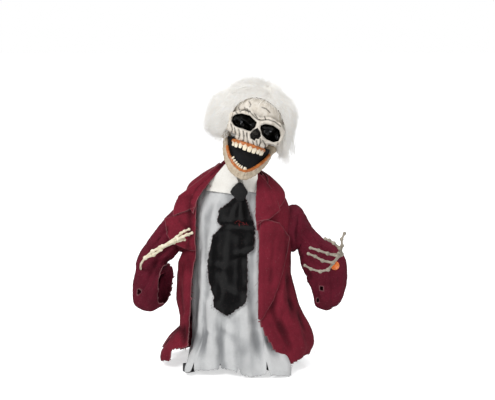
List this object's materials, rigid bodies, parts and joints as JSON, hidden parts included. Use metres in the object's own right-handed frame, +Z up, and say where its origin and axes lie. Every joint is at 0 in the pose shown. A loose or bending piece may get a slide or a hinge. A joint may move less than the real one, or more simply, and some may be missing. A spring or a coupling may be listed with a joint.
{
  "type": "animated skeleton butler",
  "caption": "Standing half figure with a talking, tilting skull, bony hands, white wig, tailcoat-style jacket, shirt and ragged tie on a low four-legged stand.",
  "frame": {"origin": "on the floor under the pole, at the middle of the stand hub", "axes": "+Z up; the figure faces -Y; +X is towards the figure's own left"},
  "size_m": [0.5073, 0.2386, 0.6868],
  "materials": {
    "black_plastic": "fine matt moulding",
    "black_powder_steel": "powder coated, satin",
    "bare_steel": "bright drawn steel",
    "grey_plastic": "fine matt moulding",
    "gear_nylon": "natural nylon",
    "circuit_board": "glass-fibre board",
    "cell_jacket": "printed steel jacket, plain",
    "bone_resin": "painted resin with a dark wash",
    "bone_grey": "painted resin, greyer wash",
    "tooth_and_gum": "painted teeth in an orange-brown gum",
    "eye_gloss_black": "high gloss",
    "lamp_clear": "clear epoxy lamp",
    "mouth_liner_cloth": "matt stretch cloth",
    "wig_fur": "long white synthetic fur",
    "burgundy_cloth": "plain woven, raw edges",
    "white_cotton": "thin woven cotton, raw hem",
    "black_cloth": "plain woven, frayed edges",
    "amber_plastic": "clear amber, polished"
  },
  "bodies": {
    "frame": {"base_hub": "black_plastic", "foot_cap_back_left": "black_plastic", "foot_cap_back_right": "black_plastic", "foot_cap_front_right": "black_plastic", "foot_cap_front_left": "black_plastic", "battery_tray": "black_plastic", "loudspeaker": "black_plastic", "leg_back_left": "black_powder_steel", "leg_back_right": "black_powder_steel", "leg_front_right": "black_powder_steel", "leg_front_left": "black_powder_steel", "pole": "bare_steel", "shoulder_bar": "bare_steel", "neck_bracket": "bare_steel", "neck_pivot_pin": "bare_steel", "neck_motor": "bare_steel", "chest_box_front": "grey_plastic", "chest_box_back": "grey_plastic", "circuit_board": "circuit_board", "dry_cell_1": "cell_jacket", "dry_cell_2": "cell_jacket", "dry_cell_3": "cell_jacket", "coat_front_right": "burgundy_cloth", "coat_front_left": "burgundy_cloth", "coat_back": "burgundy_cloth", "coat_collar": "burgundy_cloth", "lapel_right": "burgundy_cloth", "lapel_left": "burgundy_cloth", "shirt_front": "white_cotton", "shirt_back": "white_cotton", "neck_band": "white_cotton", "shirt_collar_right": "white_cotton", "shirt_collar_left": "white_cotton", "tie_blade": "black_cloth", "tie_knot": "black_cloth"},
    "neck_drive_pinion": {"neck_pinion": "gear_nylon"},
    "head": {"neck_arm": "gear_nylon", "neck_tube": "grey_plastic", "skull_face": "bone_resin", "skull_back": "bone_resin", "eye_cup_right": "eye_gloss_black", "eye_cup_left": "eye_gloss_black", "eye_lamp_right": "lamp_clear", "eye_lamp_left": "lamp_clear", "upper_teeth": "tooth_and_gum", "mouth_liner": "mouth_liner_cloth", "jaw_motor": "grey_plastic", "wig": "wig_fur"},
    "lower_jaw": {"jaw": "bone_resin", "lower_teeth": "tooth_and_gum", "jaw_shaft": "bare_steel"},
    "arm_right": {"arm_wire_right": "bare_steel", "sleeve_right": "burgundy_cloth", "hand_right": "bone_resin"},
    "arm_left": {"arm_wire_left": "bare_steel", "sleeve_left": "burgundy_cloth", "hand_left": "bone_grey", "cuff_button": "amber_plastic"},
    "battery_cover": {"battery_door": "grey_plastic"},
    "switch_slider": {"power_switch": "black_plastic"}
  },
  "joints": [
    {"name": "head_tilt", "type": "hinge", "parent": "frame", "child": "head", "pos_m": [0, 0, 0.425], "axis": [0, 1, 0], "range_deg": [-24, 0]},
    {"name": "pinion_spin", "type": "hinge", "parent": "frame", "child": "neck_drive_pinion", "pos_m": [0, 0, 0.38065], "axis": [0, 1, 0], "range_deg": [-1, 73]},
    {"name": "jaw_hinge", "type": "hinge", "parent": "head", "child": "lower_jaw", "pos_m": [0.02356, -0.01711, 0.54073], "axis": [0.9414, 0.1035, -0.3212], "range_deg": [-34, 0]},
    {"name": "shoulder_right", "type": "hinge", "parent": "frame", "child": "arm_right", "pos_m": [-0.124, 0.022, 0.328], "axis": [1, 0, 0], "range_deg": [-40, 15]},
    {"name": "shoulder_left", "type": "hinge", "parent": "frame", "child": "arm_left", "pos_m": [0.124, 0.022, 0.328], "axis": [1, 0, 0], "range_deg": [-40, 15]},
    {"name": "battery_door_hinge", "type": "hinge", "parent": "frame", "child": "battery_cover", "pos_m": [0, 0.0308, 0.256], "axis": [-1, 0, 0], "range_deg": [0, 35]},
    {"name": "switch_slide", "type": "slide", "parent": "frame", "child": "switch_slider", "axis": [1, 0, 0], "range_m": [0, 0.004]}
  ],
  "couplings": [
    {"joint": "pinion_spin", "follows": "head_tilt", "ratio": -3}
  ]
}
